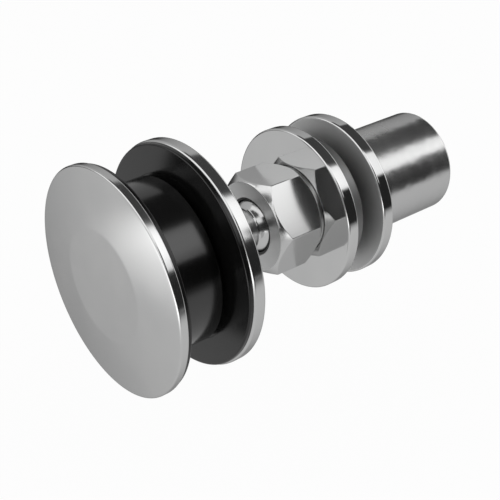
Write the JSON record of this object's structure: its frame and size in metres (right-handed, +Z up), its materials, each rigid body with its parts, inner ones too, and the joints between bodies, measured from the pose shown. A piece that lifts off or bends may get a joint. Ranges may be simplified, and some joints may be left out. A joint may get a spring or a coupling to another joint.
{
  "type": "articulated glass fitting",
  "caption": "Ball-jointed stud that clamps a drilled glass panel between two round discs and bolts through a facade spider arm between two washers.",
  "frame": {"origin": "centre of the face on which the front arm washer bears against the spider arm, on the stud's axis", "axes": "+Y along the stud from the glass to the arm and out through the barrel nut, +Z up, +X to the right seen from the glass"},
  "size_m": [0.06, 0.1083, 0.06],
  "materials": {
    "disc_steel": "satin",
    "stud_steel": "polished",
    "nut_steel": "polished",
    "washer_steel": "polished",
    "bush_aluminium": "satin",
    "bush_black": "gloss",
    "gasket_black": "matte",
    "seat_polymer": "matte"
  },
  "bodies": {
    "arm_side": {"socket_housing": "nut_steel", "wiper_ring": "gasket_black", "front_seat_ring": "seat_polymer", "arm_stud": "stud_steel", "front_arm_washer": "washer_steel", "arm_bush": "bush_aluminium", "rear_arm_washer": "washer_steel", "cap_nut": "nut_steel"},
    "seat": {"seat_cup": "seat_polymer"},
    "stud": {"ball_stud": "stud_steel"},
    "glass_clamp": {"front_disc": "disc_steel", "front_gasket": "gasket_black", "glass_bush": "bush_black", "rear_gasket": "gasket_black", "rear_disc": "disc_steel", "spring_washer": "nut_steel", "clamp_nut": "nut_steel"}
  },
  "joints": [
    {"name": "tilt_up_down", "type": "hinge", "parent": "arm_side", "child": "seat", "pos_m": [0, -0.0131, 0], "axis": [1, 0, 0], "range_deg": [-12, 12]},
    {"name": "tilt_side_to_side", "type": "hinge", "parent": "seat", "child": "stud", "pos_m": [0, -0.0131, 0], "axis": [0, 0, 1], "range_deg": [-12, 12]},
    {"name": "turn_about_stud", "type": "hinge", "parent": "stud", "child": "glass_clamp", "pos_m": [0, -0.0131, 0], "axis": [0, 1, 0], "continuous": true}
  ]
}
